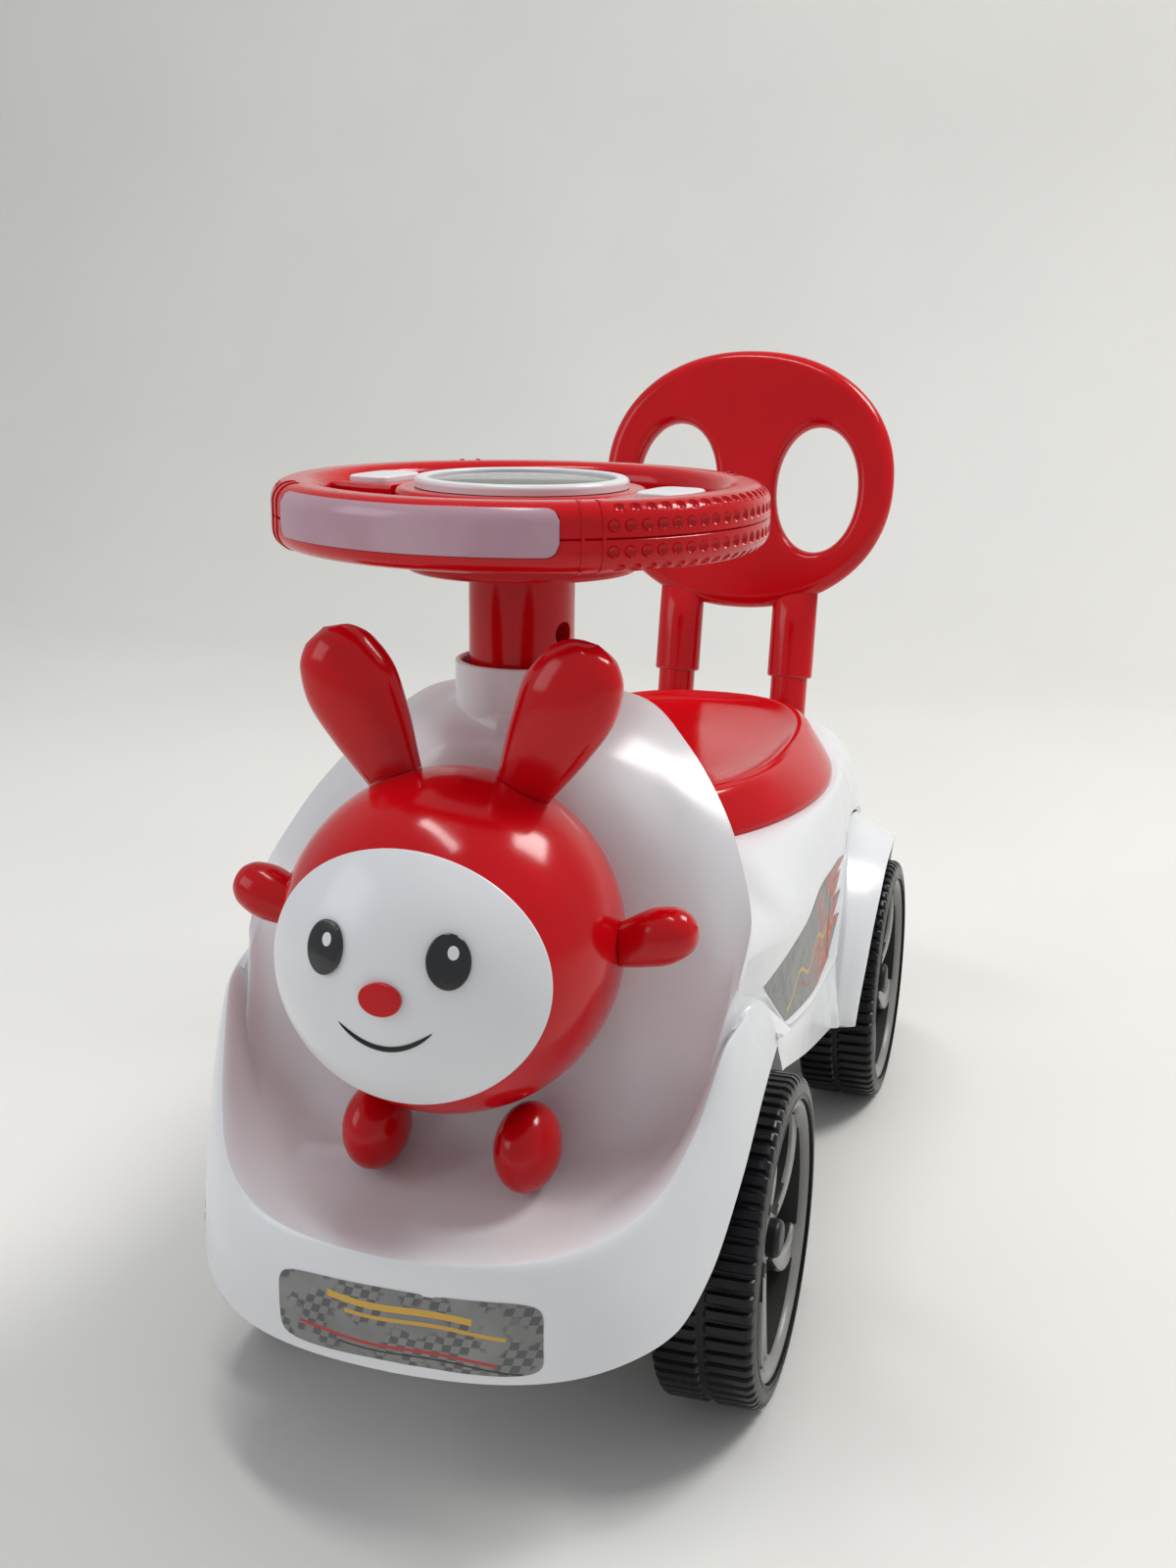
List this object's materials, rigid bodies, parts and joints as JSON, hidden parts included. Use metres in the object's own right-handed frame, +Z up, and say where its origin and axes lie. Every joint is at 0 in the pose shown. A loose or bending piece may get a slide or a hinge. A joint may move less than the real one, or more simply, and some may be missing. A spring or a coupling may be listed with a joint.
{
  "type": "kids push car",
  "caption": "Small ride-on push car with a steering wheel, steered front wheels, a lifting seat over a storage well and a backrest with hand holes.",
  "frame": {"origin": "on the ground, under the middle of the whole car's box", "axes": "+Z up, the car faces -Y, +X to the left of a rider"},
  "size_m": [0.274, 0.693, 0.4895],
  "materials": {
    "red_plastic": "glossy moulded plastic",
    "white_plastic": "glossy moulded plastic",
    "black_plastic": "satin moulded plastic",
    "grey_plastic": "satin moulded plastic",
    "tyre": "satin hard plastic with moulded ribs",
    "steel": "plain zinc plated",
    "lens_plastic": "translucent glossy plastic",
    "clear_plastic": "clear moulded plastic",
    "dial_card": "matt printed card",
    "circuit_board": "matt laminate"
  },
  "bodies": {
    "chassis": {"front_cowl": "white_plastic", "main_body": "white_plastic", "chassis_plate": "black_plastic", "front_bracket": "black_plastic", "column_bush": "black_plastic", "kingpin_left": "steel", "kingpin_right": "steel", "rear_axle": "steel", "backrest": "red_plastic", "seat_hinge_pin": "steel", "figure_body": "red_plastic", "figure_ear_left": "red_plastic", "figure_ear_right": "red_plastic", "figure_eye_left": "black_plastic", "figure_eye_right": "black_plastic", "figure_face": "white_plastic", "figure_foot_left": "red_plastic", "figure_foot_right": "red_plastic", "figure_nose": "red_plastic", "figure_paw_left": "red_plastic", "figure_paw_right": "red_plastic", "figure_screw": "steel"},
    "steering": {"column_sleeve": "red_plastic", "steering_shaft": "steel", "column_bolt": "steel", "column_nut": "steel", "steering_wheel_upper": "red_plastic", "steering_wheel_lower": "red_plastic", "light_bar": "lens_plastic", "bezel_ring": "white_plastic", "dial_window": "clear_plastic", "dial_face": "dial_card", "hub_cover": "red_plastic", "battery_front": "steel", "battery_rear": "steel", "circuit_board": "circuit_board", "speaker": "black_plastic", "steering_crank": "black_plastic"},
    "tie_rod_body": {"tie_rod": "steel"},
    "knuckle_left_body": {"knuckle_left": "black_plastic"},
    "knuckle_right_body": {"knuckle_right": "black_plastic"},
    "wheel_front_left": {"tyre_front_left": "tyre", "rim_front_left": "grey_plastic", "hub_cap_front_left": "black_plastic"},
    "wheel_front_right": {"tyre_front_right": "tyre", "rim_front_right": "grey_plastic", "hub_cap_front_right": "black_plastic"},
    "wheel_rear_left": {"tyre_rear_left": "tyre", "rim_rear_left": "grey_plastic", "hub_cap_rear_left": "black_plastic"},
    "wheel_rear_right": {"tyre_rear_right": "tyre", "rim_rear_right": "grey_plastic", "hub_cap_rear_right": "black_plastic"},
    "seat_lid_body": {"seat_lid": "red_plastic"},
    "button_left_body": {"button_left": "white_plastic"},
    "button_right_body": {"button_right": "white_plastic"}
  },
  "joints": [
    {"name": "steering_turn", "type": "hinge", "parent": "chassis", "child": "steering", "pos_m": [0, -0.17379, 0.08], "axis": [0, 0, 1], "range_deg": [-20, 20]},
    {"name": "tie_rod_pivot", "type": "hinge", "parent": "steering", "child": "tie_rod_body", "pos_m": [0, -0.13879, 0.066], "axis": [0, 0, 1], "range_deg": [-20, 20]},
    {"name": "knuckle_left_turn", "type": "hinge", "parent": "chassis", "child": "knuckle_left_body", "pos_m": [-0.07, -0.17379, 0.08], "axis": [0, 0, 1], "range_deg": [-20, 20]},
    {"name": "knuckle_right_turn", "type": "hinge", "parent": "chassis", "child": "knuckle_right_body", "pos_m": [0.07, -0.17379, 0.08], "axis": [0, 0, 1], "range_deg": [-20, 20]},
    {"name": "wheel_front_left_spin", "type": "hinge", "parent": "knuckle_left_body", "child": "wheel_front_left", "pos_m": [-0.1125, -0.17379, 0.08], "axis": [1, 0, 0], "continuous": true},
    {"name": "wheel_front_right_spin", "type": "hinge", "parent": "knuckle_right_body", "child": "wheel_front_right", "pos_m": [0.1125, -0.17379, 0.08], "axis": [1, 0, 0], "continuous": true},
    {"name": "wheel_rear_left_spin", "type": "hinge", "parent": "chassis", "child": "wheel_rear_left", "pos_m": [-0.1125, 0.19621, 0.08], "axis": [1, 0, 0], "continuous": true},
    {"name": "wheel_rear_right_spin", "type": "hinge", "parent": "chassis", "child": "wheel_rear_right", "pos_m": [0.1125, 0.19621, 0.08], "axis": [1, 0, 0], "continuous": true},
    {"name": "seat_lid_lift", "type": "hinge", "parent": "chassis", "child": "seat_lid_body", "pos_m": [0, 0.26721, 0.24], "axis": [-1, 0, 0], "range_deg": [0, 60]},
    {"name": "button_left_press", "type": "slide", "parent": "steering", "child": "button_left_body", "axis": [0, 0, -1], "range_m": [0, 0.0012], "stiffness_N_per_m": 400},
    {"name": "button_right_press", "type": "slide", "parent": "steering", "child": "button_right_body", "axis": [0, 0, -1], "range_m": [0, 0.0012], "stiffness_N_per_m": 400}
  ],
  "couplings": [
    {"joint": "knuckle_left_turn", "follows": "steering_turn", "ratio": 1},
    {"joint": "knuckle_right_turn", "follows": "steering_turn", "ratio": 1},
    {"joint": "tie_rod_pivot", "follows": "steering_turn", "ratio": -1}
  ]
}
